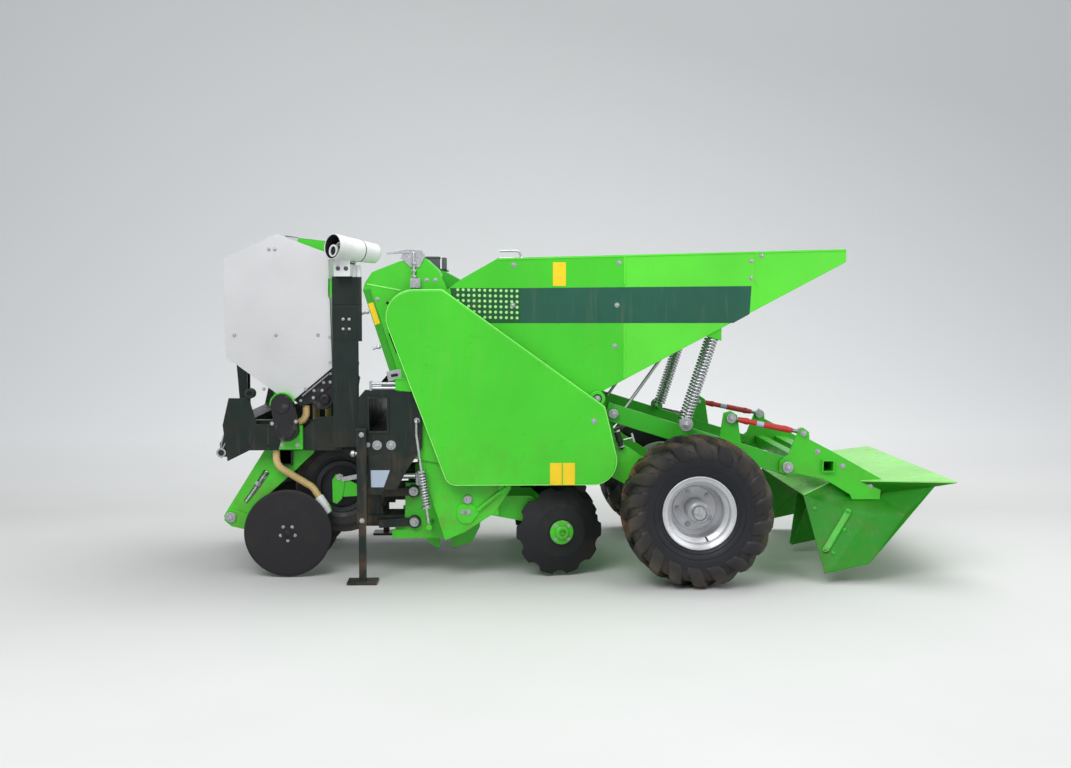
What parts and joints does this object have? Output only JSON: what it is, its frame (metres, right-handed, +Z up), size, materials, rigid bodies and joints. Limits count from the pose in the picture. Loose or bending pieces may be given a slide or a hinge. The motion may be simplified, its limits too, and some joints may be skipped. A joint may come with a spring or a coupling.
{
  "type": "potato planter",
  "caption": "Tractor-mounted potato planter with seed hopper, cup-belt planting units, fertiliser hopper and coulters, covering discs, rear wheels and a ridging hood.",
  "frame": {"origin": "middle of the machine's box, on the ground", "axes": "+X to the machine's rear, +Y to its right-hand side, +Z up"},
  "size_m": [3.504, 1.76, 1.645],
  "materials": {
    "green_paint": "gloss",
    "light_green_paint": "gloss",
    "dark_green_paint": "satin",
    "grey_sheet": "satin",
    "black_plastic": "matte",
    "white_plastic": "satin",
    "hose_plastic": "satin",
    "belt_rubber": "matte",
    "bright_steel": "satin",
    "red_paint": "gloss",
    "disc_steel": "satin",
    "tyre_rubber": "matte",
    "rim_silver": "satin"
  },
  "bodies": {
    "chassis": {"belt_rollers": "bright_steel", "belt_top_covers": "green_paint", "chain_cover": "black_plastic", "coulter_arms": "green_paint", "coulter_hangers": "green_paint", "covering_disc_arms": "green_paint", "cup_belts": "belt_rubber", "drive_guards": "green_paint", "drop_boots": "green_paint", "drop_ducts": "green_paint", "fertiliser_hopper_body": "grey_sheet", "fertiliser_hopper_ends": "grey_sheet", "fertiliser_hoses": "hose_plastic", "front_frame": "dark_green_paint", "front_side_plates": "dark_green_paint", "furrow_openers": "green_paint", "gauge_forks": "green_paint", "hitch_ears": "dark_green_paint", "hood_arms": "green_paint", "hood_frame": "green_paint", "hood_pivots": "green_paint", "hood_roof": "green_paint", "hood_wings": "green_paint", "hopper_end_walls": "green_paint", "hopper_floor": "green_paint", "hopper_mid_panels": "light_green_paint", "hopper_rear_panels": "light_green_paint", "hopper_sides": "green_paint", "hopper_stays": "green_paint", "mast": "dark_green_paint", "metering_trough": "black_plastic", "opener_links": "dark_green_paint", "parking_legs": "dark_green_paint", "rear_axle_frame": "green_paint", "row_hangers": "dark_green_paint", "sensor_tube": "white_plastic", "side_frames": "green_paint", "springs": "bright_steel", "toolbar": "dark_green_paint", "toolbar_end_plates": "dark_green_paint", "tower": "dark_green_paint", "turnbuckles": "red_paint", "unit_cheeks": "green_paint"},
    "rear_wheel_left": {"rear_rim_left": "rim_silver", "rear_tyre_left": "tyre_rubber"},
    "gauge_wheel_left": {"gauge_rim_left": "rim_silver", "gauge_tyre_left": "tyre_rubber"},
    "fertiliser_disc_left_inner": {"fertiliser_disc_left_inner": "disc_steel"},
    "covering_disc_left_inner": {"covering_disc_left_inner": "disc_steel"},
    "fertiliser_disc_left_outer": {"fertiliser_disc_left_outer": "disc_steel"},
    "covering_disc_left_outer": {"covering_disc_left_outer": "disc_steel"},
    "rear_wheel_right": {"rear_rim_right": "rim_silver", "rear_tyre_right": "tyre_rubber"},
    "gauge_wheel_right": {"gauge_rim_right": "rim_silver", "gauge_tyre_right": "tyre_rubber"},
    "fertiliser_disc_right_inner": {"fertiliser_disc_right_inner": "disc_steel"},
    "covering_disc_right_inner": {"covering_disc_right_inner": "disc_steel"},
    "fertiliser_disc_right_outer": {"fertiliser_disc_right_outer": "disc_steel"},
    "covering_disc_right_outer": {"covering_disc_right_outer": "disc_steel"},
    "fertiliser_lid": {"fertiliser_lid": "green_paint"}
  },
  "joints": [
    {"name": "rear_wheel_left_spin", "type": "hinge", "parent": "chassis", "child": "rear_wheel_left", "pos_m": [0.527, -0.75, 0.355], "axis": [0, 1, 0], "continuous": true},
    {"name": "gauge_wheel_left_spin", "type": "hinge", "parent": "chassis", "child": "gauge_wheel_left", "pos_m": [-1.165, -0.375, 0.426], "axis": [0, 1, 0], "continuous": true},
    {"name": "fertiliser_disc_left_inner_spin", "type": "hinge", "parent": "chassis", "child": "fertiliser_disc_left_inner", "pos_m": [-1.413, -0.215, 0.217], "axis": [0, 1, 0], "continuous": true},
    {"name": "covering_disc_left_inner_spin", "type": "hinge", "parent": "chassis", "child": "covering_disc_left_inner", "pos_m": [-0.101, -0.19, 0.222], "axis": [0.2079, 0.9781, 0], "continuous": true},
    {"name": "fertiliser_disc_left_outer_spin", "type": "hinge", "parent": "chassis", "child": "fertiliser_disc_left_outer", "pos_m": [-1.413, -0.535, 0.217], "axis": [0, 1, 0], "continuous": true},
    {"name": "covering_disc_left_outer_spin", "type": "hinge", "parent": "chassis", "child": "covering_disc_left_outer", "pos_m": [-0.101, -0.56, 0.222], "axis": [-0.2079, 0.9781, 0], "continuous": true},
    {"name": "rear_wheel_right_spin", "type": "hinge", "parent": "chassis", "child": "rear_wheel_right", "pos_m": [0.527, 0.75, 0.355], "axis": [0, 1, 0], "continuous": true},
    {"name": "gauge_wheel_right_spin", "type": "hinge", "parent": "chassis", "child": "gauge_wheel_right", "pos_m": [-1.165, 0.375, 0.426], "axis": [0, 1, 0], "continuous": true},
    {"name": "fertiliser_disc_right_inner_spin", "type": "hinge", "parent": "chassis", "child": "fertiliser_disc_right_inner", "pos_m": [-1.413, 0.215, 0.217], "axis": [0, 1, 0], "continuous": true},
    {"name": "covering_disc_right_inner_spin", "type": "hinge", "parent": "chassis", "child": "covering_disc_right_inner", "pos_m": [-0.101, 0.19, 0.222], "axis": [-0.2079, 0.9781, 0], "continuous": true},
    {"name": "fertiliser_disc_right_outer_spin", "type": "hinge", "parent": "chassis", "child": "fertiliser_disc_right_outer", "pos_m": [-1.413, 0.535, 0.217], "axis": [0, 1, 0], "continuous": true},
    {"name": "covering_disc_right_outer_spin", "type": "hinge", "parent": "chassis", "child": "covering_disc_right_outer", "pos_m": [-0.101, 0.56, 0.222], "axis": [0.2079, 0.9781, 0], "continuous": true},
    {"name": "fertiliser_lid_hinge", "type": "hinge", "parent": "chassis", "child": "fertiliser_lid", "pos_m": [-1.672, 0, 1.512], "axis": [0, -1, 0], "range_deg": [0, 100]}
  ]
}
